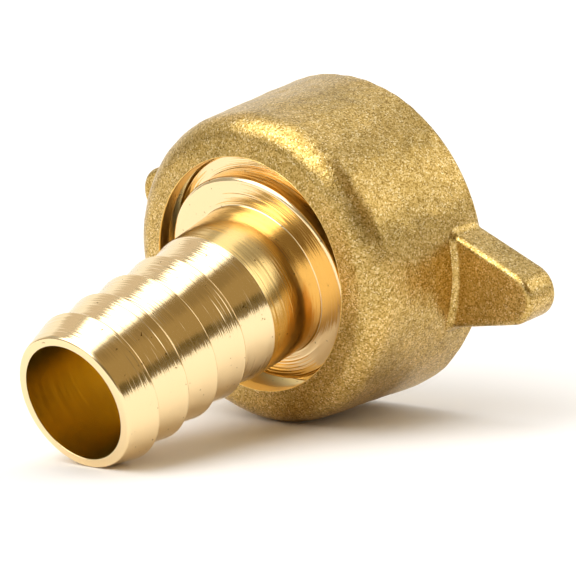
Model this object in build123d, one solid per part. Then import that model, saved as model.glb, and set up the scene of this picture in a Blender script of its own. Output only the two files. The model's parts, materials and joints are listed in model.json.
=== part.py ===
from build123d import *
from math import asin, atan2, cos, degrees, hypot, radians, sin, tan
import os

# Hose tail with a loose lug nut, lying on its side as it comes to rest on a table.
# Lengths are in millimetres and angles in degrees.
# Row frame: origin on the nut's axis where its full thread begins, just inside the
# open rim; +Z up, +X towards the mouth of the tail, +Y to the left when looking along +X.

# Lug nut: a casting, bored and tapped from its open end.
nut_height = 15.3           # open rim to the front edge of the tail's hole
rim_wall = 2.33             # wall outside the thread's roots at the open rim
wall_draft = 3.6            # the outer wall narrows towards the front
front_slope = 12.0          # the front face falls away from the hole
shoulder_radius = 2.6       # between the outer wall and the front face
lip_thickness = 1.4         # the wall round the hole that holds the flange back
rim_break = 0.25            # broken edge on the outside of the open rim
hole_break = 0.2            # broken edge on the front of the hole

# Pipe thread in the nut, G 3/4. Its crests are a plain bore here.
thread_crest_radius = 12.1
thread_depth = 1.12
thread_length = 5.8         # full crests, past the lead-in
pocket_depth = 0.35         # the pocket ahead of the thread is this much wider

# Two lugs, opposite one another, to turn the nut by hand.
lug_length = 8.1            # outside of the open rim to the tip of a lug
lug_thickness = 4.0         # along the nut's axis
lug_root_height = 9.3       # across the lug where it grows out of the middle of the wall
lug_tip_radius = 2.5        # the lug's rounded end, seen along the nut's axis
lug_set_back = 0.05         # open rim to the back face of the lug
lug_edge_break = 0.45       # bevel round the lug's front and back edges
lug_roll = -9.9             # how far the lugs are turned from level at rest

# Hose tail: one turned piece with a bore right through.
bore_radius = 5.45
mouth_wall = 0.87           # wall left round the bore at the mouth
mouth_break = 0.15
barb_count = 5
barb_pitch = 3.9
barb_rise = 0.88            # from the root of a barb to its crest
nose_length = 3.25          # from the last crest to the mouth
neck_length = 6.4           # collar face to the first crest
neck_foot_width = 0.45      # a low cone round the foot of the neck
neck_foot_height = 0.35
collar_length = 2.5
hole_clearance = 0.85       # between the collar and the nut's hole
collar_wall = 4.7           # from the bore to the outside of the collar
collar_break = 0.25
flange_thickness = 1.4
flange_clearance = 0.45     # between the flange and the thread's crests
flange_break = 0.3

# Flat sealing washer, lying against the back of the flange.
washer_thickness = 1.4
washer_gap = 0.05           # between the washer and the flange
washer_inset = 0.05         # it is this much smaller than the flange
washer_bore_gap = 1.2       # its hole is this much larger than the tail's bore

# The tail lies loose in the nut. These say how it lies in its play.
droop = 10.0                # the tail's axis below the nut's axis
side_play = 0.15            # off the nut's axis, towards +Y
drop_play = 0.30            # flange face centre below the nut's axis
lip_gap = 0.15              # flange edge to the edge of the lip behind it

# Sizes that follow from those above.
rim_radius = thread_crest_radius + thread_depth + rim_wall
lip_plane = nut_height - lip_thickness
collar_radius = bore_radius + collar_wall
hole_radius = collar_radius + hole_clearance
pocket_radius = thread_crest_radius + pocket_depth
pocket_start = thread_depth + thread_length
flange_radius = thread_crest_radius - flange_clearance
flange_back = -collar_length - flange_thickness
root_radius = bore_radius + mouth_wall
crest_radius = root_radius + barb_rise
last_crest = neck_length + (barb_count - 1) * barb_pitch
tail_length = last_crest + nose_length


def shoulder_corner():
    """Where the drafted wall and the sloping front face would meet, as (along, out)."""
    wall_fall, face_fall = tan(radians(wall_draft)), tan(radians(front_slope))
    face_drop = (rim_radius - hole_radius) * face_fall
    along = (nut_height - face_drop) / (1 - wall_fall * face_fall)
    return along, rim_radius - along * wall_fall


def shoulder_centre():
    """Centre of the rounded shoulder, tangent to the wall and to the front face."""
    along, out = shoulder_corner()
    wall, face = radians(wall_draft), radians(front_slope)
    spread = cos(wall + face)
    into = shoulder_radius * (cos(wall) - sin(face)) / spread
    inward = shoulder_radius * (cos(face) - sin(wall)) / spread
    return along - into, out - inward


def tail_seat():
    """Collar face centre in the nut's plane of droop, as (along, up).

    The flange's broken front edge stands lip_gap behind the inner edge of the lip.
    """
    run, fall = cos(radians(droop)), sin(radians(droop))
    up = -drop_play - collar_length * fall
    edge_sum = flange_radius - flange_break - collar_length
    reach = edge_sum + lip_gap * 2 ** 0.5
    along = lip_plane - (reach - (hole_radius - up) * (run - fall)) / (run + fall)
    return along, up


def nut_tilt():
    """Angle of the nut's axis below level when shoulder and mouth share one floor."""
    along, up = tail_seat()
    run, fall = cos(radians(droop)), sin(radians(droop))
    reach, edge = tail_length - mouth_break, root_radius
    mouth_along = along + reach * run - edge * fall
    mouth_down = -up + reach * fall + edge * run
    centre_along, centre_out = shoulder_centre()
    lever, offset = mouth_along - centre_along, mouth_down - centre_out
    return asin(shoulder_radius / hypot(lever, offset)) - atan2(offset, lever)


def turned(points):
    """A solid of revolution about X from (along, out) points."""
    outline = Polyline(*points, close=True)
    return revolve(make_face(outline), axis=Axis.X)


def nut_blank():
    """The nut's round body without its lugs, bored and with the pocket cut."""
    along, out = shoulder_corner()
    section = [
        (0, thread_crest_radius + thread_depth),
        (0, rim_radius - rim_break),
        (rim_break, rim_radius - rim_break * tan(radians(wall_draft))),
        (along, out),
        (nut_height, hole_radius + hole_break),
        (nut_height - hole_break, hole_radius),
        (lip_plane, hole_radius),
        (lip_plane, pocket_radius),
        (pocket_start, pocket_radius),
        (pocket_start, thread_crest_radius),
        (thread_depth, thread_crest_radius),
    ]
    face = make_face(Polyline(*section, close=True))
    corner = face.vertices().sort_by_distance((along, out))[0]
    return revolve(fillet(corner, shoulder_radius), axis=Axis.X)


def lug():
    """One lug along +Y: a tapered ear with a round end and bevelled edges."""
    inside_wall = rim_radius - rim_wall / 2
    root = Line((inside_wall, -lug_root_height / 2), (inside_wall, lug_root_height / 2))
    tip = Pos(rim_radius + lug_length - lug_tip_radius, 0) * Rot(Z=180) * Circle(lug_tip_radius)
    outline = make_hull(ShapeList([root.edge(), tip.edge()]))
    ear = extrude(Plane.YZ * outline, lug_thickness)
    rims = ear.faces().filter_by(Axis.X).edges()
    rims = rims.filter_by(lambda edge: edge.center().Y > inside_wall + lug_edge_break)
    return Pos(lug_set_back, 0, 0) * chamfer(rims, lug_edge_break)


def lug_nut():
    """The whole casting: the round body with its two lugs, lugs turned to their place."""
    nut = nut_blank()
    for turn in (0, 180):
        nut += Rot(X=turn) * lug()
    return Rot(X=lug_roll) * nut


def barb_points():
    """The sawtooth from the neck to the mouth, cut into the neck's cylinder."""
    points = [(neck_length, crest_radius)]
    for number in range(1, barb_count):
        crest = neck_length + number * barb_pitch
        points += [(crest, root_radius), (crest, crest_radius)]
    return points


def hose_tail():
    """The turned tail with the collar's face at the origin and its mouth along +X."""
    section = [
        (flange_back, bore_radius),
        (flange_back, flange_radius - flange_break),
        (flange_back + flange_break, flange_radius),
        (-collar_length - flange_break, flange_radius),
        (-collar_length, flange_radius - flange_break),
        (-collar_length, collar_radius),
        (-collar_break, collar_radius),
        (0, collar_radius - collar_break),
        (0, crest_radius + neck_foot_width),
        (neck_foot_height, crest_radius),
        *barb_points(),
        (tail_length - mouth_break, root_radius),
        (tail_length, root_radius - mouth_break),
        (tail_length, bore_radius),
    ]
    return turned(section)


def sealing_washer():
    """The flat ring that lies against the back of the flange."""
    outer, inner = flange_radius - washer_inset, bore_radius + washer_bore_gap
    front = flange_back - washer_gap
    back = front - washer_thickness
    return turned([(back, inner), (back, outer), (front, outer), (front, inner)])


def placed():
    """Every piece where it lies at rest, by node name."""
    along, up = tail_seat()
    level = Rot(Y=nut_tilt_degrees) * Pos(-thread_depth, 0, 0)
    in_nut = level * Pos(along, side_play, up) * Rot(Y=droop)
    return {
        "lug_nut": level * lug_nut(),
        "hose_tail": in_nut * hose_tail(),
        "sealing_washer": in_nut * sealing_washer(),
    }


nut_tilt_degrees = degrees(nut_tilt())
os.makedirs("parts", exist_ok=True)
for name, solid in placed().items():
    export_step(solid, f"parts/{name}.step")
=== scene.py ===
# %% [markdown]
# # A brass hose tail with a loose lug nut
#
# The real fitting has three pieces. A turned tail takes the hose on its barbs, a cast nut with
# two lugs draws it onto a tap, and a rubber washer inside the nut seals the joint. The packed
# CAD model gives their true size and place. This lesson dresses each piece with a finer surface
# worked out in numpy, gives it the finish its maker would leave, and sets up a small studio.
# A surface from a formula was chosen over sculpting because every edge then has a known radius.

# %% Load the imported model
import json
import math

import bmesh
import bpy
import numpy as np
from mathutils import Matrix, Vector


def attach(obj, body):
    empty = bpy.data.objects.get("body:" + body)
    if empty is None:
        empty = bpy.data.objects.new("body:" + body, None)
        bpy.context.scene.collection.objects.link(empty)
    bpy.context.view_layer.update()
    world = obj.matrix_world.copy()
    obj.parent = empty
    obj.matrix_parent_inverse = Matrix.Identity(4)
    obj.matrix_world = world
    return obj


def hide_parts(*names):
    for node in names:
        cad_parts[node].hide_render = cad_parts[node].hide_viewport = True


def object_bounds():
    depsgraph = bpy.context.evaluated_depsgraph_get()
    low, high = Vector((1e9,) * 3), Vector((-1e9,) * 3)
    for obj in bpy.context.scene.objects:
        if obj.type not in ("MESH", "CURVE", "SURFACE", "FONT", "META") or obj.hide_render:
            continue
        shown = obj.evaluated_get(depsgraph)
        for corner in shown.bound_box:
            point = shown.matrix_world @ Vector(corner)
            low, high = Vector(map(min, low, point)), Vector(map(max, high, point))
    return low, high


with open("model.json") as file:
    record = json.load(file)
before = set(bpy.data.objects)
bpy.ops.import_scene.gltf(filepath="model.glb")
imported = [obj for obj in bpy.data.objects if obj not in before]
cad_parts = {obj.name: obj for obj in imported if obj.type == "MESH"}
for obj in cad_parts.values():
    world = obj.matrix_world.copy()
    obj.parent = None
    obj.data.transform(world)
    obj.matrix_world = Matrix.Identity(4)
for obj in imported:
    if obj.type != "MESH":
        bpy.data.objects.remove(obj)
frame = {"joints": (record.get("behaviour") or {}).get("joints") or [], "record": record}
cad_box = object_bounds()

# %% [markdown]
# Nothing is placed by eye. The nut's thread and the tail's swivel joint are both stated in the
# frame, each as a point and an axis, so every turned surface can be drawn in plain lathe
# terms, along an axis and out from it, and then carried to where its piece really lies. The
# thread starts behind a 45 degree lead-in as long as the thread is deep, so the nut's open rim
# lies that far back from the thread's own point.

# %% Read where the two axes lie
mm = 0.001
thread_depth = 1.12 * mm
mounts = {mount["name"]: mount for mount in frame["record"]["mounts"]}
joints = {joint["name"]: joint for joint in frame["joints"]}


def lathe_frame(origin, axis):
    """Origin and three unit vectors: along the axis, to the side (+Y), and up across both."""
    along = np.array(axis) / np.linalg.norm(axis)
    side = np.array([0.0, 1.0, 0.0])
    return np.array(origin), np.stack([along, side, np.cross(along, side)])


nut_inward = -np.array(mounts["nut_thread"]["axis"])
thread_start = np.array(mounts["nut_thread"]["pos_m"])
nut_frame = lathe_frame(thread_start - thread_depth * nut_inward, nut_inward)
tail_frame = lathe_frame(joints["tail_swivel"]["pos_m"], joints["tail_swivel"]["axis"])
print("open rim centre", nut_frame[0].round(5), "collar face centre", tail_frame[0].round(5))

# %% [markdown]
# A lathe part is one outline turned round an axis. Real edges are never knife sharp: the tool
# nose and a little burnishing leave each with a small radius, and that radius is what catches
# the light as a thin bright line. So each corner of an outline is given with its own radius,
# and a helper rounds them all and sets two close points beside each arc to keep flats flat.

# %% Helper: an outline with rounded corners
arc_steps = 6
guard = 0.03 * mm  # how far from an arc its neighbours on the flats lie


def rounded_outline(corners, spacing):
    """A closed outline from (along, out, radius) corners.

    At a corner that turns by an angle t, the arc touches both sides radius * tan(t / 2) away,
    and its points are the arc's centre plus the radius in directions spread evenly between the
    two sides' normals. Each side gets a point close to either arc, and a long one gets more
    between them, about a spacing apart.
    """
    data = np.array(corners, float)
    here, radius = data[:, :2], data[:, 2]
    before = here - np.roll(here, 1, axis=0)
    before /= np.linalg.norm(before, axis=1)[:, None]
    after = np.roll(before, -1, axis=0)
    turn = before[:, 0] * after[:, 1] - before[:, 1] * after[:, 0]
    angle = np.arctan2(turn, (before * after).sum(1))
    reach = radius * np.abs(np.tan(angle / 2))
    left = np.stack([-before[:, 1], before[:, 0]], 1) * np.sign(angle)[:, None]
    start, end = here - before * reach[:, None], here + after * reach[:, None]
    centre = start + left * radius[:, None]
    pieces = []
    for k in range(len(here)):
        spread = np.linspace(0, angle[k], arc_steps + 1)
        spoke = start[k] - centre[k]
        arc = np.stack([spoke[0] * np.cos(spread) - spoke[1] * np.sin(spread),
                        spoke[0] * np.sin(spread) + spoke[1] * np.cos(spread)], 1) + centre[k]
        run = start[(k + 1) % len(here)] - end[k]
        length = np.linalg.norm(run)
        inside = np.array([0.5])
        if length > 3 * guard:
            inside = np.linspace(guard, length - guard, max(2, int(length / spacing))) / length
        pieces += [arc, end[k] + inside[:, None] * run]
    return np.concatenate(pieces)


# %% [markdown]
# A surface here is a grid of points: rows follow the outline, columns go round the axis. The
# same grid also gives a UV map. U runs once round, and V is the distance along the outline in
# metres, which later lets a finish draw tool lines that follow the lathe on every face.

# %% Helper: a grid of points becomes a mesh
columns = 384


def ring_directions(axes):
    """One unit vector for each column: cos p side + sin p up, with p spread evenly over a turn."""
    angle = np.arange(columns) * 2 * np.pi / columns
    return np.cos(angle)[:, None] * axes[1] + np.sin(angle)[:, None] * axes[2]


def swept_grid(outline, lathe):
    """Each outline point (a, r) goes round the axis: origin + a along + r times each direction."""
    origin, axes = lathe
    along, out = outline[:, 0][:, None, None], outline[:, 1][:, None, None]
    return origin + along * axes[0] + out * ring_directions(axes)


def outline_length(points):
    """Distance along a closed run of points, one value per point and one for the return."""
    steps = np.linalg.norm(np.roll(points, -1, axis=0) - points, axis=1)
    return np.concatenate([[0], np.cumsum(steps)])


weld_reach = 1e-7  # metres, below which two points are one


def grid_mesh(name, points, v_metres, closed_across=True):
    """A mesh from a grid, closed round its rows, with outward faces and a UV map.

    Across its columns the grid closes too, or else its two end columns are welded shut. The
    sum of signed volumes under the faces tells which way they point, and turns them if inwards.
    """
    rows, cols = points.shape[:2]
    strips = cols if closed_across else cols - 1
    i, j = np.meshgrid(np.arange(rows), np.arange(strips), indexing="ij")
    corner_i = np.stack([i, i, i + 1, i + 1], -1).reshape(-1, 4)
    corner_j = np.stack([j, j + 1, j + 1, j], -1).reshape(-1, 4)
    faces = (corner_i % rows) * cols + corner_j % cols
    flat = points.reshape(-1, 3)
    a, b, c, d = (flat[faces[:, k]] - flat[0] for k in range(4))
    volume = (np.cross(a, b) * c).sum() + (np.cross(a, c) * d).sum()
    if volume < 0:
        faces, corner_i, corner_j = faces[:, ::-1], corner_i[:, ::-1], corner_j[:, ::-1]
    mesh = bpy.data.meshes.new(name)
    mesh.from_pydata(flat, [], faces.tolist())
    uv = np.stack([corner_j / cols, v_metres[corner_i]], -1)
    mesh.uv_layers.new(name="lathe").data.foreach_set("uv", uv.astype(np.float32).ravel())
    if not closed_across:
        weld = bmesh.new()
        weld.from_mesh(mesh)
        bmesh.ops.remove_doubles(weld, verts=weld.verts, dist=weld_reach)
        bmesh.ops.dissolve_degenerate(weld, edges=weld.edges, dist=weld_reach)
        weld.to_mesh(mesh)
        weld.free()
    mesh.shade_smooth()
    piece = bpy.data.objects.new(name, mesh)
    bpy.context.scene.collection.objects.link(piece)
    print(f"{name}: {len(faces) * 2} triangles")
    return piece


# %% [markdown]
# ## The hose tail
#
# The tail is turned from bar in one piece: flange, collar, neck and five barbs, bored through.
# A barb is a saw tooth, with a long slope that lets the hose ride up and a square back that
# bites when the hose is pulled. The radii are small on the crests and larger at the mouth,
# where the edge has been broken so that a hose starts easily. The neck behind the barbs is
# turned very slightly conical, which shows only in how it mirrors the room.

# %% Sizes of the tail
mouth_wall, barb_rise = 0.87 * mm, 0.88 * mm
neck_length, barb_pitch, nose_length = 6.4 * mm, 3.9 * mm, 3.25 * mm
barb_count = 5
neck_taper, neck_taper_length = 0.25 * mm, 5.6 * mm
collar_length, collar_wall = 2.5 * mm, 4.7 * mm
flange_thickness, flange_clearance = 1.4 * mm, 0.45 * mm
mouth_break = 0.15 * mm

bore_radius = mounts["waterway"]["dims"]["r_mm"] * mm
thread_crest_radius = mounts["nut_thread"]["dims"]["r_mm"] * mm
thread_length = mounts["nut_thread"]["dims"]["length_mm"] * mm
root_radius = bore_radius + mouth_wall
crest_radius = root_radius + barb_rise
tail_length = neck_length + (barb_count - 1) * barb_pitch + nose_length
collar_radius = bore_radius + collar_wall
flange_radius = thread_crest_radius - flange_clearance
flange_back = -collar_length - flange_thickness
print(f"tail: {(tail_length - flange_back) / mm:.1f} mm long, crests {2 * crest_radius / mm:.1f} mm across")

# %% Turn the tail
crest_edge, root_edge = 0.13 * mm, 0.05 * mm
mouth_edge, bore_edge = 0.28 * mm, 0.07 * mm
flange_edge, collar_edge = 0.3 * mm, 0.40 * mm


def tail_outline():
    """Up the flange, over the collar, down each barb in turn, and back through the bore."""
    corners = [
        (flange_back, bore_radius, 0.1 * mm),
        (flange_back, flange_radius, flange_edge),
        (-collar_length, flange_radius, flange_edge),
        (-collar_length, collar_radius, root_edge),
        (0, collar_radius, collar_edge),
        (0, crest_radius + neck_taper, 0.12 * mm),
        (neck_taper_length, crest_radius, 3 * mm),
        (neck_length, crest_radius, crest_edge),
    ]
    for number in range(1, barb_count):
        crest = neck_length + number * barb_pitch
        corners += [(crest, root_radius, root_edge), (crest, crest_radius, crest_edge)]
    corners += [
        (tail_length - mouth_break, root_radius, mouth_edge),
        (tail_length, root_radius - mouth_break, mouth_edge),
        (tail_length, bore_radius, bore_edge),
    ]
    return rounded_outline(corners, spacing=0.8 * mm)


tail_line = tail_outline()
tail = grid_mesh("turned_tail", swept_grid(tail_line, tail_frame), outline_length(tail_line))

# %% [markdown]
# ## The nut
#
# The nut is a casting with a machined inside. Its outside narrows slightly towards the front
# so that it left the mould, and its shoulder is generously round. The inside is bored and
# tapped, so it is drawn in the same closed outline, and the thread is then cut into the rows
# of points that lie between the open rim and the pocket.

# %% Sizes of the nut
nut_height = 15.3 * mm
rim_wall, rim_break = 2.33 * mm, 0.25 * mm
wall_fall = math.tan(math.radians(3.6))
face_fall = math.tan(math.radians(12.0))
shoulder_radius = 2.6 * mm
hole_clearance, lip_thickness, pocket_depth = 0.85 * mm, 1.4 * mm, 0.35 * mm

thread_root_radius = thread_crest_radius + thread_depth
rim_radius = thread_root_radius + rim_wall
hole_radius = collar_radius + hole_clearance
pocket_radius = thread_crest_radius + pocket_depth
pocket_start = thread_depth + thread_length
lip_plane = nut_height - lip_thickness
face_drop = (rim_radius - hole_radius) * face_fall
shoulder_along = (nut_height - face_drop) / (1 - wall_fall * face_fall)
shoulder_out = rim_radius - shoulder_along * wall_fall
print(f"nut: rim radius {rim_radius / mm:.2f} mm, hole radius {hole_radius / mm:.2f} mm")

# %% [markdown]
# A mould leaves a skin that is never quite even, with shallow hollows a few millimetres wide. A
# sum of sine waves in random directions gives such a skin at any point in space, without a
# seam, and a fixed seed gives the same skin each time.

# %% Helper: the uneven skin that a mould leaves
skin_seed = np.random.default_rng(7)


def waves(points, length, count=24):
    """A smooth random height, mostly between -1 and 1: sine waves in random directions, added."""
    ways = skin_seed.normal(size=(count, 3))
    ways *= 2 * np.pi / length / np.linalg.norm(ways, axis=1)[:, None]
    phases = skin_seed.uniform(0, 2 * np.pi, count)
    return np.sin(points @ ways.T + phases).sum(-1) * math.sqrt(2 / count) / 1.5


def cast_skin(points, outward, weight):
    """Moves points by a broad and a narrow wave, less both their sizes, so that they only sink."""
    broad, narrow = 0.03 * mm, 0.02 * mm
    height = broad * waves(points, 5 * mm) + narrow * waves(points, 1.6 * mm)
    return points + outward * (np.minimum(height - broad - narrow, 0) * weight)[..., None]


# %% [markdown]
# A pipe thread is a ridge wound round like a spring. At any point its height depends on how
# far along the axis it is, less how far round, counted in turns. That single sum drives the
# whole helix. At the inner end the groove fades out, as a tap leaves it, and the mouth is
# opened by a cone so that the male thread starts straight.

# %% The nut's outline, with plain rows where the tap will run
thread_pitch = 1.814 * mm
thread_rows = 84
thread_stretch, thread_cut, thread_fade = 1.25, 0.12, 0.6 * thread_pitch
rim_edge = 0.38 * mm


def nut_outline():
    """Outside from the rim to the hole, then back through the pocket to where the tap stops."""
    corners = [
        (0, thread_root_radius, 0.12 * mm),
        (0, rim_radius - rim_break, rim_edge),
        (rim_break, rim_radius - rim_break * wall_fall, rim_edge),
        (shoulder_along, shoulder_out, shoulder_radius),
        (nut_height, hole_radius, 0.14 * mm),
        (lip_plane, hole_radius, 0.08 * mm),
        (lip_plane, pocket_radius, 0.2 * mm),
        (pocket_start, pocket_radius, 0.1 * mm),
        (pocket_start, thread_crest_radius, 0.05 * mm),
    ]
    line = rounded_outline(corners, spacing=0.35 * mm)
    in_thread = line[:, 0] < pocket_start - 0.1 * mm
    in_thread &= line[:, 1] < thread_root_radius - 0.15 * mm
    stretch = np.linspace(pocket_start - 0.12 * mm, 0.15 * mm, thread_rows)
    tap = np.stack([stretch, np.full(thread_rows, thread_crest_radius)], axis=1)
    return np.concatenate([line[~in_thread], tap]), np.count_nonzero(~in_thread)


nut_line, tapped_from = nut_outline()
print(f"nut outline: {tapped_from} turned points and {thread_rows} for the thread")


# %% Tap the thread and cast the nut
def tapped_radius(along, turns):
    """Crest radius plus a groove, or the mouth's cone where that is wider.

    The groove is a cosine of (along / pitch - turns), stretched and cut off so that crests and
    roots come out a little flat, and fades out over the last 0.6 of a pitch.
    """
    wave = 0.5 + 0.5 * np.cos(2 * np.pi * (along / thread_pitch - turns))
    groove = np.clip(thread_stretch * wave - thread_cut, 0, 1) * thread_depth
    fade = np.clip((pocket_start - along) / thread_fade, 0, 1)
    lead = thread_root_radius - along
    return np.maximum(thread_crest_radius + groove * fade, lead)


def nut_grid():
    """The turned grid, with the thread cut into its last rows and a cast skin on the outside.

    The skin stops a little short of the turned rim, hole and pocket. It sinks points towards
    the axis, and those of the shoulder and the front along it too.
    """
    origin, axes = nut_frame
    points = swept_grid(nut_line, nut_frame)
    ring = ring_directions(axes)
    along, out = nut_line.T
    depth = along[tapped_from:]
    radius = tapped_radius(depth[:, None], np.arange(columns) / columns)
    points[tapped_from:] = origin + depth[:, None, None] * axes[0] + radius[..., None] * ring
    is_cast = (out > hole_radius + 0.1 * mm) & (along > 0.05 * mm)
    is_cast[tapped_from:] = False
    is_cast &= (along >= lip_plane + 0.2 * mm) | (out >= thread_root_radius + 0.5 * mm)
    weight = np.repeat(is_cast[:, None], columns, axis=1).astype(float)
    on_front = (along > shoulder_along - 1.2 * mm).astype(float)[:, None, None]
    outward = ring * (1 - 0.5 * on_front) + axes[0] * 0.6 * on_front
    return cast_skin(points, outward, weight), is_cast


nut_points, nut_is_cast = nut_grid()
nut = grid_mesh("nut_casting", nut_points, outline_length(nut_line))

# %% [markdown]
# ## The lugs
#
# Each lug is an ear that tapers to a round end, with soft edges. It grows out of the wall in a
# small fillet, because brass that shrinks as it cools would tear at a sharp inner corner. The
# grid's first direction follows the ear's outline, and its second goes across the thickness:
# up one face, round the edge, along the flank, round the other edge and down the other face.
# At the rim the back face dips a little, because the rim is turned after casting and its broken
# edge cuts the lug's root away. The reach is a hair less than the solid's, to stay inside it.

# %% Sizes of a lug
lug_reach = rim_radius + 8.097 * mm
lug_thickness = 4.0 * mm
lug_root_half = 4.65 * mm
lug_foot_radius = rim_radius - 1.165 * mm
lug_tip_radius = 2.5 * mm
lug_set_back = 0.05 * mm
lug_edge, lug_fillet = 0.5 * mm, 0.5 * mm
lug_roll = math.radians(-9.9)
lug_dip, lug_dip_reach = 0.38 * mm, 0.45 * mm
print(f"lugs: {2 * lug_reach / mm:.1f} mm from tip to tip")


# %% Helper: the ear's outline, with its normals
def ear_outline():
    """The outline from one root to the other: a straight flank, the tip's arc, and back.

    The flank starts at the foot and touches the tip's circle: its normal leans from the line
    between foot and circle's centre by the angle whose cosine is radius over that distance.
    Its points lie closer together by the wall, where the fillet will bend them.
    """
    foot = np.array([lug_foot_radius, lug_root_half])
    centre = np.array([lug_reach - lug_tip_radius, 0.0])
    gap = foot - centre
    touch = math.atan2(gap[1], gap[0]) - math.acos(lug_tip_radius / np.linalg.norm(gap))
    normal = np.array([math.cos(touch), math.sin(touch)])
    tangent = centre + lug_tip_radius * normal
    by_the_wall, further_out = np.linspace(-0.1, 0.34, 40), np.linspace(0.38, 0.98, 14)
    share = np.concatenate([by_the_wall, further_out])
    flank = foot + share[:, None] * (tangent - foot)
    sweep = np.linspace(touch, 0, 14)
    spokes = np.stack([np.cos(sweep), np.sin(sweep)], 1)
    points = np.concatenate([flank, centre + lug_tip_radius * spokes])
    normals = np.concatenate([np.repeat(normal[None], len(flank), 0), spokes])
    mirror = np.array([1.0, -1.0])
    points = np.concatenate([points, points[-2::-1] * mirror])
    return points, np.concatenate([normals, normals[-2::-1] * mirror]), centre[0]


# %% Helper: one lug as a grid
def lug_grid(half_turn):
    """Outline point less its normal times an inset, at a height across the thickness.

    Near the wall each point is pushed out by f - sqrt(f^2 - (f - d)^2), where d is its height
    above the wall and f the fillet: a quarter circle that meets the wall smoothly. At the back
    face the fillet is a tenth of that, and the face dips by a share (1 - d / reach)^2 of the
    dip, to run in below the rim's broken edge.
    """
    outline, normals, spine_end = ear_outline()
    quarter = np.linspace(0, np.pi / 2, 7)
    inset = lug_edge * (1 - np.sin(quarter))
    height = lug_edge * (1 - np.cos(quarter))
    flank = np.linspace(lug_edge, lug_thickness - lug_edge, 8)[1:-1]
    upright = np.zeros(len(flank))
    insets = np.concatenate([inset, upright, inset[::-1]])
    heights = np.concatenate([height, flank, lug_thickness - height[::-1]])
    tilt = np.concatenate([-np.cos(quarter), upright, np.cos(quarter[::-1])])
    edge = outline[:, None] - normals[:, None] * insets[None, :, None]
    spine = np.stack([np.minimum(outline[:, 0], spine_end), np.zeros(len(outline))], 1)
    share = np.linspace(0, 1, 9)[:-1]
    back = spine[:, None] + (edge[:, :1] - spine[:, None]) * share[None, :, None]
    front = spine[:, None] + (edge[:, -1:] - spine[:, None]) * share[::-1][None, :, None]
    across = np.concatenate([back, edge, front], 1)
    flat = np.zeros(len(share))
    along = lug_set_back + np.concatenate([flat, heights, flat + lug_thickness])
    tilt = np.concatenate([flat - 1, tilt, flat + 1])
    along = np.repeat(along[None], len(outline), 0)
    radial = np.linalg.norm(across, axis=2)
    above = radial - (rim_radius - along * wall_fall)
    fillet = lug_fillet * np.where(tilt < 0, 1 + 0.9 * tilt, 1)
    rise = fillet - np.clip(above, 0, fillet)
    push = fillet - np.sqrt(np.clip(fillet**2 - rise**2, 0, None))
    round_way = np.stack([-across[..., 1], across[..., 0]], -1) / radial[..., None]
    facing = (normals[:, None] * round_way).sum(-1)
    sideways = np.sqrt(np.clip(1 - tilt**2, 0, 1))[None] * np.sign(facing)
    across = across + round_way * (push * sideways)[..., None]
    dip = lug_dip * np.clip(1 - above / lug_dip_reach, 0, 1) ** 2
    along = along + push * tilt[None] + dip * np.clip(-tilt, 0, 1)[None]
    turn = lug_roll + half_turn
    origin, axes = nut_frame
    side = across[..., 0] * math.cos(turn) - across[..., 1] * math.sin(turn)
    up = across[..., 0] * math.sin(turn) + across[..., 1] * math.cos(turn)
    return origin + np.stack([along, side, up], -1) @ axes


# %% Cast both lugs
lugs = []
for lug_name, half_turn in (("near_lug", 0.0), ("far_lug", math.pi)):
    points = lug_grid(half_turn)
    even_run = np.arange(len(points) + 1) * 0.1 * mm
    lugs.append(grid_mesh(lug_name, points, even_run, closed_across=False))

# %% [markdown]
# ## The washer
#
# The washer is punched from rubber sheet: flat faces, and edges a little rounded where the
# punch dragged the rubber down. It lies against the flange, so it follows the tail's axis.

# %% Punch the washer
washer_thickness, washer_gap, washer_inset = 1.4 * mm, 0.05 * mm, 0.05 * mm
washer_bore_gap = 1.2 * mm
punched_edge, dragged_edge = 0.12 * mm, 0.2 * mm
washer_front = flange_back - washer_gap
washer_back = washer_front - washer_thickness
washer_outer = flange_radius - washer_inset
washer_inner = bore_radius + washer_bore_gap
washer_line = rounded_outline([
    (washer_back, washer_inner, punched_edge),
    (washer_back, washer_outer, dragged_edge),
    (washer_front, washer_outer, punched_edge),
    (washer_front, washer_inner, punched_edge),
], spacing=0.8 * mm)
washer = grid_mesh("rubber_washer", swept_grid(washer_line, tail_frame), outline_length(washer_line))

# %% [markdown]
# ## Finishes
#
# A finish is a small tree of nodes. Three helpers keep the trees short: one starts a material,
# one makes a colour ramp from its stops, and one joins the last shader to the output.

# %% Helpers: nodes of one material
def new_material(name):
    """An empty node material and short ways to add and join its nodes."""
    material = bpy.data.materials.new(name)
    material.use_nodes = True
    tree = material.node_tree
    tree.nodes.clear()

    def add(kind, **settings):
        node = tree.nodes.new(kind)
        for key, value in settings.items():
            if key in node.inputs:
                node.inputs[key].default_value = value
            else:
                setattr(node, key, value)
        return node

    def join(a, b):
        tree.links.new(a, b)

    return material, add, join


def colour_ramp(add, *stops):
    """A colour ramp through (position, colour) stops, given from low to high."""
    ramp = add("ShaderNodeValToRGB")
    elements = ramp.color_ramp.elements
    for element, (position, colour) in zip(elements, (stops[0], stops[-1])):
        element.position, element.color = position, colour
    for position, colour in stops[1:-1]:
        elements.new(position).color = colour
    return ramp


def show_surface(add, join, shader):
    """Ends a tree: the shader becomes the surface."""
    out = add("ShaderNodeOutputMaterial")
    join(shader.outputs[0], out.inputs["Surface"])


# %% [markdown]
# Turned brass is bright, but it is not a plain mirror: the tool leaves fine rings, which
# smear each reflection along the axis. The finish below draws them as noise that
# changes fast along V and hardly at all round the part, so they follow every face, and leans
# on anisotropy for the rings too fine to draw. A picture of rings would repeat and blur, while
# noise is sharp at any distance.

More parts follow.
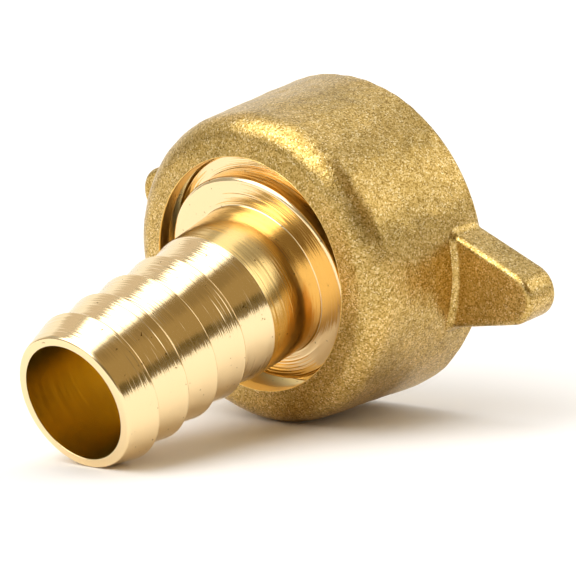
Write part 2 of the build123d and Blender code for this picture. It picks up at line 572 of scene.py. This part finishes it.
# %% Helper: tool rings as heights
def ring_heights(add, join, lines_per_mm, drift_per_mm, detail):
    """Noise read at a point that runs quickly along V, and slowly across the piece itself.

    The slow part has no share in X, the quick one's own direction, so every line stays a ring.
    """
    uv = add("ShaderNodeUVMap", uv_map="lathe")
    split = add("ShaderNodeSeparateXYZ")
    join(uv.outputs["UV"], split.inputs[0])
    place = add("ShaderNodeTexCoord")
    slow = add("ShaderNodeVectorMath", operation="MULTIPLY")
    slow.inputs[1].default_value = (0, drift_per_mm / mm, drift_per_mm / mm)
    join(place.outputs["Object"], slow.inputs[0])
    quick = add("ShaderNodeMath", operation="MULTIPLY")
    quick.inputs[1].default_value = lines_per_mm / mm
    join(split.outputs["Y"], quick.inputs[0])
    shift = add("ShaderNodeCombineXYZ")
    join(quick.outputs[0], shift.inputs["X"])
    total = add("ShaderNodeVectorMath", operation="ADD")
    join(slow.outputs[0], total.inputs[0])
    join(shift.outputs[0], total.inputs[1])
    noise = add("ShaderNodeTexNoise", Scale=1.0, Detail=detail, Roughness=0.65)
    join(total.outputs[0], noise.inputs["Vector"])
    return noise.outputs["Fac"]


# %% Turned brass
speck_brown = (0.30, 0.17, 0.06, 1)


def turned_brass(name, roughness, line_height, colour):
    """Polished brass: tool rings as bump, finer ones as anisotropy, and sparse brown specks.

    The height is fine rings times a depth that comes and goes in patches, plus half of some
    coarse rings, which bend a reflection slowly as a tool's feed does.
    """
    material, add, join = new_material(name)
    fine = ring_heights(add, join, lines_per_mm=5.0, drift_per_mm=0.09, detail=1.0)
    coarse = ring_heights(add, join, lines_per_mm=0.9, drift_per_mm=0.05, detail=0.0)
    patch = ring_heights(add, join, lines_per_mm=0.5, drift_per_mm=0.22, detail=1.0)
    depth = add("ShaderNodeMapRange")
    depth.inputs["From Min"].default_value, depth.inputs["From Max"].default_value = 0.35, 0.65
    depth.inputs["To Min"].default_value, depth.inputs["To Max"].default_value = 0.35, 1.0
    join(patch, depth.inputs["Value"])
    rings = add("ShaderNodeMath", operation="MULTIPLY")
    join(fine, rings.inputs[0])
    join(depth.outputs[0], rings.inputs[1])
    both = add("ShaderNodeMath", operation="MULTIPLY_ADD")
    both.inputs[1].default_value = 0.5
    join(coarse, both.inputs[0])
    join(rings.outputs[0], both.inputs[2])
    bump = add("ShaderNodeBump", Strength=1.0, Distance=line_height)
    join(both.outputs[0], bump.inputs["Height"])
    place = add("ShaderNodeTexCoord")
    specks = add("ShaderNodeTexNoise", Scale=1.9 / mm, Detail=2.0, Roughness=0.7)
    join(place.outputs["Object"], specks.inputs["Vector"])
    tone = colour_ramp(add, (0.265, speck_brown), (0.30, colour))
    join(specks.outputs["Fac"], tone.inputs["Fac"])
    tangent = add("ShaderNodeTangent", direction_type="UV_MAP", uv_map="lathe")
    shader = add("ShaderNodeBsdfPrincipled", Metallic=1.0, Roughness=roughness, Anisotropic=0.6)
    join(tone.outputs["Color"], shader.inputs["Base Color"])
    join(bump.outputs[0], shader.inputs["Normal"])
    join(tangent.outputs[0], shader.inputs["Tangent"])
    show_surface(add, join, shader)
    return material


# name, roughness, height of the tool lines, colour
barb_finish = turned_brass("turned_brass", 0.12, 0.062 * mm, (0.96, 0.75, 0.43, 1))
# The neck's darker, deeper gold is painted reflection: it stands in for the nut and collar that the neck
# mirrors.
neck_painted_reflection = turned_brass("neck_brass_painted_reflection", 0.18, 0.016 * mm, (0.87, 0.61, 0.24, 1))
# Brass whose extra orange is partly painted reflection: it stands in for the collar's brass mirrored in the
# hole.
bored_painted_reflection = turned_brass("bored_brass_painted_reflection", 0.32, 0.002 * mm, (0.95, 0.68, 0.24, 1))
# The bore's darker amber is painted shade: it stands in for the shade and the brass mirrored on brass
# inside the bore.
bore_painted_shade = turned_brass("drilled_brass_painted_shade", 0.24, 0.012 * mm, (0.86, 0.65, 0.17, 1))
print("turned finishes:", barb_finish.name, neck_painted_reflection.name, bored_painted_reflection.name, bore_painted_shade.name)

# %% [markdown]
# A shot-blasted casting sparkles because steel shot has dented it all over. Every dent is a
# tiny bowl that mirrors a different part of the room. Cells the size of the dents, used as
# bump on a half-rough metal, give the same grain. Each cell also has a tone of its own, from
# dull brown to bright brass, which is painted sparkle: a painted glint on the bright cells and
# painted shade on the dull ones. The whole drifts slowly in tone.

# %% Blasted cast brass
# A Mix node keeps sockets for every kind of data; these are the ones for colours.
mix_factor, mix_first, mix_second, mix_result = 0, 6, 7, 2


def blasted_brass():
    """Half-rough brass in tiny facets, each with its own lean and a painted sparkle tone, and slow drifts
    of tone.

    The height is noise plus a share of each point's distance from its cell's middle.
    """
    material, add, join = new_material("blasted_brass")
    place = add("ShaderNodeTexCoord")
    dents = add("ShaderNodeTexVoronoi", Scale=8.0 / mm)
    grain = add("ShaderNodeTexNoise", Scale=2.6 / mm, Detail=3.0, Roughness=0.7)
    drift = add("ShaderNodeTexNoise", Scale=0.30 / mm, Detail=2.0, Roughness=0.5)
    for texture in (dents, grain, drift):
        join(place.outputs["Object"], texture.inputs["Vector"])
    height = add("ShaderNodeMath", operation="MULTIPLY_ADD")
    height.inputs[1].default_value = 0.35
    join(dents.outputs["Distance"], height.inputs[0])
    join(grain.outputs["Fac"], height.inputs[2])
    bump = add("ShaderNodeBump", Strength=1.0, Distance=0.030 * mm)
    join(height.outputs[0], bump.inputs["Height"])
    facet = add("ShaderNodeSeparateColor")
    join(dents.outputs["Color"], facet.inputs[0])
    # Painted sparkle: each dent's tone is a painted glint on bright cells and painted shade on dark ones.
    painted_dent_glint_and_shade = colour_ramp(add, (0.0, (0.30, 0.18, 0.035, 1)), (0.45, (0.60, 0.395, 0.115, 1)),
                        (0.85, (0.75, 0.53, 0.20, 1)), (1.0, (0.95, 0.76, 0.42, 1)))
    join(facet.outputs["Red"], painted_dent_glint_and_shade.inputs["Fac"])
    shade = colour_ramp(add, (0.35, (0.84, 0.84, 0.80, 1)), (0.65, (1, 1, 1, 1)))
    join(drift.outputs["Fac"], shade.inputs["Fac"])
    tone = add("ShaderNodeMix", data_type="RGBA", blend_type="MULTIPLY")
    tone.inputs[mix_factor].default_value = 1.0
    join(painted_dent_glint_and_shade.outputs["Color"], tone.inputs[mix_first])
    join(shade.outputs["Color"], tone.inputs[mix_second])
    shader = add("ShaderNodeBsdfPrincipled", Metallic=1.0, Roughness=0.33)
    join(tone.outputs[mix_result], shader.inputs["Base Color"])
    join(bump.outputs[0], shader.inputs["Normal"])
    show_surface(add, join, shader)
    return material


cast_finish = blasted_brass()
print("cast finish:", cast_finish.name)

# %% [markdown]
# The washer's rubber is filled with carbon, so it is nearly black, and matt because its skin
# is uneven on a very small scale. A little noise as bump is all that it needs.

# %% Black rubber
def black_rubber():
    """Matt rubber with a fine bloom."""
    material, add, join = new_material("black_rubber")
    place = add("ShaderNodeTexCoord")
    grain = add("ShaderNodeTexNoise", Scale=3 / mm, Detail=3.0)
    join(place.outputs["Object"], grain.inputs["Vector"])
    bump = add("ShaderNodeBump", Strength=0.4, Distance=0.02 * mm)
    join(grain.outputs["Fac"], bump.inputs["Height"])
    shader = add("ShaderNodeBsdfPrincipled", Roughness=0.6)
    shader.inputs["Base Color"].default_value = (0.03, 0.03, 0.032, 1)
    join(bump.outputs[0], shader.inputs["Normal"])
    show_surface(add, join, shader)
    return material


rubber_finish = black_rubber()
print("washer finish:", rubber_finish.name)

# %% [markdown]
# The tail's bore is drilled and its neck less polished than its barbs, and the nut is cast
# outside and machined inside. The neck's darker gold is painted reflection, the bore's darker
# amber is painted shade, and the orange of the nut's bored faces is partly painted reflection.
# So both take several finishes, one for each strip of faces between two rows of the grid.

# %% Give each strip of faces its finish
def finish_rows(piece, finishes, row_finish):
    """Puts the finishes on a piece, and gives every face of a row the finish of that row."""
    for finish in finishes:
        piece.data.materials.append(finish)
    face_finish = np.repeat(row_finish, columns).astype(np.int32)
    piece.data.polygons.foreach_set("material_index", face_finish)
    print(f"{piece.name}: rows with each finish", np.bincount(row_finish))


tail_along, tail_out = tail_line.T
neck_start, neck_end = 0.09 * mm, neck_length - 0.1 * mm
in_bore = tail_out < bore_radius + 0.01 * mm
painted_neck_reflection_rows = (tail_along > neck_start) & (tail_along < neck_end) & ~in_bore
painted_bore_shade_rows = in_bore & np.roll(in_bore, -1)
finish_rows(tail, [barb_finish, bore_painted_shade, neck_painted_reflection],
            np.where(painted_bore_shade_rows, 1, np.where(painted_neck_reflection_rows, 2, 0)))
cast_rows = nut_is_cast & np.roll(nut_is_cast, -1)
finish_rows(nut, [cast_finish, bored_painted_reflection], np.where(cast_rows, 0, 1))
for lug in lugs:
    lug.data.materials.append(cast_finish)
washer.data.materials.append(rubber_finish)

# %% [markdown]
# Every piece rides the body that it belongs to, so it moves when a joint moves. The tail, the
# nut and the washer also take the place of the plain solids.

# %% Let the pieces ride
for piece, body, slot in ((tail, "tail", "turned_brass"), (nut, "nut", "cast_brass"),
                          (lugs[0], "nut", "cast_brass"), (lugs[1], "nut", "cast_brass"),
                          (washer, "washer", "washer_rubber")):
    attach(piece, body)
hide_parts("hose_tail")
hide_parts("lug_nut")
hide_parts("sealing_washer")

# %% [markdown]
# ## The studio
#
# The fitting lies on a white table. The white comes from the table's own colour: the room's
# light is just strong enough that an open stretch of it renders white, while the fitting
# still throws a soft shadow. Its edges are far enough away to look like a level horizon.

# %% Floor
table_half, table_white = 3.0, (0.96, 0.945, 0.93, 1)


def white_floor():
    """A wide white table top at the height where the fitting touches it."""
    floor_z = cad_box[0][2]
    mesh = bpy.data.meshes.new("table")
    ways = ((-1, -1), (1, -1), (1, 1), (-1, 1))
    mesh.from_pydata([(x * table_half, y * table_half, floor_z) for x, y in ways], [], [(0, 1, 2, 3)])
    table = bpy.data.objects.new("table", mesh)
    bpy.context.scene.collection.objects.link(table)
    material, add, join = new_material("white_table")
    shader = add("ShaderNodeBsdfDiffuse")
    shader.inputs["Color"].default_value = table_white
    show_surface(add, join, shader)
    table.data.materials.append(material)
    print(f"table at {floor_z / mm:.2f} mm")


white_floor()

# %% [markdown]
# Bright metal is lit by what it mirrors, so the room matters more than any lamp. The world is
# a grey room with a white wall at the back and warmer, darker ones on the left. A strong soft
# box hangs high on the left, another straight overhead, and a weaker one stands on the right.
# The dark bands on the barbs mirror brown screens between that last box and the camera, and
# without them the polish would have nothing to show.

# %% World
def toward(azimuth, elevation):
    """Unit vector at an azimuth from +X towards +Y and a height above level, in degrees."""
    a, e = math.radians(azimuth), math.radians(elevation)
    return Vector((math.cos(e) * math.cos(a), math.cos(e) * math.sin(a), math.sin(e)))


room_grey = (0.44, 0.43, 0.41)
patches = [
    # name, azimuth and elevation, inner and outer half angle, colour
    ("white wall at the back", -120, 8, 30, 46, (1.08, 1.07, 1.05)),
    ("pale wall at the back right", 175, 4, 24, 40, (0.72, 0.71, 0.69)),
    ("ceiling at the back", 178, 52, 12, 24, (0.80, 0.79, 0.76)),
    ("bright edge of the ceiling", -160, 63, 9, 16, (1.45, 1.44, 1.40)),
    ("warm ceiling at the left", -98, 50, 9, 18, (0.70, 0.62, 0.55)),
    ("warm wall at the left", -66, 14, 8, 18, (0.50, 0.45, 0.38)),
    ("brown screen", 84, 36, 26, 36, (0.38, 0.275, 0.125)),
    ("brown screen, upper edge", 95, 62, 10, 18, (0.28, 0.20, 0.09)),
    ("brown screen, lower edge", 100, 2, 12, 18, (0.13, 0.095, 0.035)),
    ("foot of the right soft box", 118, 0, 12, 22, (0.22, 0.17, 0.09)),
    ("dark room behind the camera", 42, 10, 24, 34, (0.21, 0.17, 0.11)),
    ("right soft box", 141, 31, 15, 24, (1.75, 1.74, 1.70)),
    ("left soft box", -15, 50, 22, 34, (3.5, 3.5, 3.5)),
    ("overhead soft box", -30, 82, 15, 24, (2.8, 2.8, 2.8)),
]


def studio_world():
    """A grey room, then one patch after another laid over it round its own direction.

    A patch covers all where the cosine to its direction passes that of its inner half angle,
    nothing below that of its outer one, and fades smoothly between the two.
    """
    world = bpy.data.worlds.new("studio")
    bpy.context.scene.world = world
    world.use_nodes = True
    nodes, links = world.node_tree.nodes, world.node_tree.links
    nodes.clear()
    place = nodes.new("ShaderNodeTexCoord")
    colour = nodes.new("ShaderNodeRGB")
    colour.outputs[0].default_value = (*room_grey, 1)
    last = colour.outputs[0]
    for name, azimuth, elevation, inner, outer, tint in patches:
        dot = nodes.new("ShaderNodeVectorMath")
        dot.label = name
        dot.operation = "DOT_PRODUCT"
        dot.inputs[1].default_value = toward(azimuth, elevation)
        links.new(place.outputs["Generated"], dot.inputs[0])
        fade = nodes.new("ShaderNodeMapRange")
        fade.interpolation_type = "SMOOTHSTEP"
        fade.inputs["From Min"].default_value = math.cos(math.radians(outer))
        fade.inputs["From Max"].default_value = math.cos(math.radians(inner))
        links.new(dot.outputs["Value"], fade.inputs["Value"])
        mix = nodes.new("ShaderNodeMix")
        mix.data_type = "RGBA"
        mix.inputs[mix_second].default_value = (*tint, 1)
        links.new(fade.outputs[0], mix.inputs[mix_factor])
        links.new(last, mix.inputs[mix_first])
        last = mix.outputs[mix_result]
    background = nodes.new("ShaderNodeBackground")
    links.new(last, background.inputs["Color"])
    out = nodes.new("ShaderNodeOutputWorld")
    links.new(background.outputs[0], out.inputs["Surface"])
    print(f"studio: {len(patches)} patches on a grey room")


studio_world()

# %% [markdown]
# ## The camera
#
# A long lens a little above the table, turned to look along the tail from its mouth. A lens
# this long keeps the mouth from looming over the nut. The camera's place is given as a
# direction and a distance from the point that it looks at.

# %% Camera
aim = Vector((4.350, -3.755, -4.661)) * mm
camera_azimuth, camera_elevation, camera_roll = 41.693, 8.452, 1.468
camera_distance = 301.62 * mm
lens_mm, sensor_mm = 200.0, 36.0


def set_camera():
    """Backs off from the aim point, looks at it, and leans by the roll."""
    back = toward(camera_azimuth, camera_elevation)
    level = Vector((0, 0, 1)).cross(back).normalized()
    up = back.cross(level)
    roll = math.radians(camera_roll)
    up = up * math.cos(roll) + level * math.sin(roll)
    across = up.cross(back)
    data = bpy.data.cameras.new("camera")
    data.lens = lens_mm
    data.sensor_width = sensor_mm
    data.clip_start = 0.01
    camera = bpy.data.objects.new("camera", data)
    turn = Matrix((across, up, back)).transposed().to_4x4()
    camera.matrix_world = Matrix.Translation(aim + back * camera_distance) @ turn
    bpy.context.scene.collection.objects.link(camera)
    bpy.context.scene.camera = camera
    print("camera at", [round(c, 4) for c in camera.location])


set_camera()
bpy.context.scene.view_settings.view_transform = "Standard"
